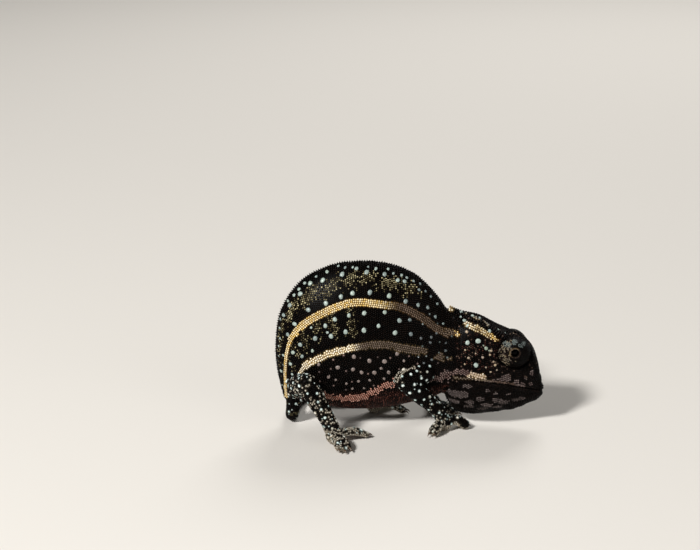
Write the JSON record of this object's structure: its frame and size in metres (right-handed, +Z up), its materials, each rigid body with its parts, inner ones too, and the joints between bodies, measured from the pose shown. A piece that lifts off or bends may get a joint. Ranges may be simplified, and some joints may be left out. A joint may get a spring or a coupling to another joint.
{
  "type": "jewelled chameleon, young animal, still model",
  "caption": "Still life-size model of a young jewelled chameleon, hunched on four feet with its tail curled on the floor.",
  "frame": {"origin": "on the floor under the middle of the box round the whole animal, tail and toes included", "axes": "+X points to the snout, +Y to the animal's left side, +Z up"},
  "size_m": [0.0336, 0.0248, 0.0217],
  "materials": {
    "skin": "granular, slight gloss",
    "eyelid_skin": "fine granular",
    "eye": "wet gloss"
  },
  "bodies": {
    "root": {"torso": "skin", "neck": "skin", "head": "skin", "lower_jaw": "skin", "thigh_right": "skin", "shank_right": "skin", "hind_foot_right": "skin", "thigh_left": "skin", "shank_left": "skin", "hind_foot_left": "skin", "upper_arm_right": "skin", "forearm_right": "skin", "fore_foot_right": "skin", "upper_arm_left": "skin", "forearm_left": "skin", "fore_foot_left": "skin", "tail_1": "skin", "tail_2": "skin", "tail_3": "skin", "tail_4": "skin", "tail_5": "skin", "tail_6": "skin", "tail_7": "skin", "tail_8": "skin", "eye_turret_right": "eyelid_skin", "eye_turret_left": "eyelid_skin", "eyeball_right": "eye", "eyeball_left": "eye"}
  },
  "joints": []
}
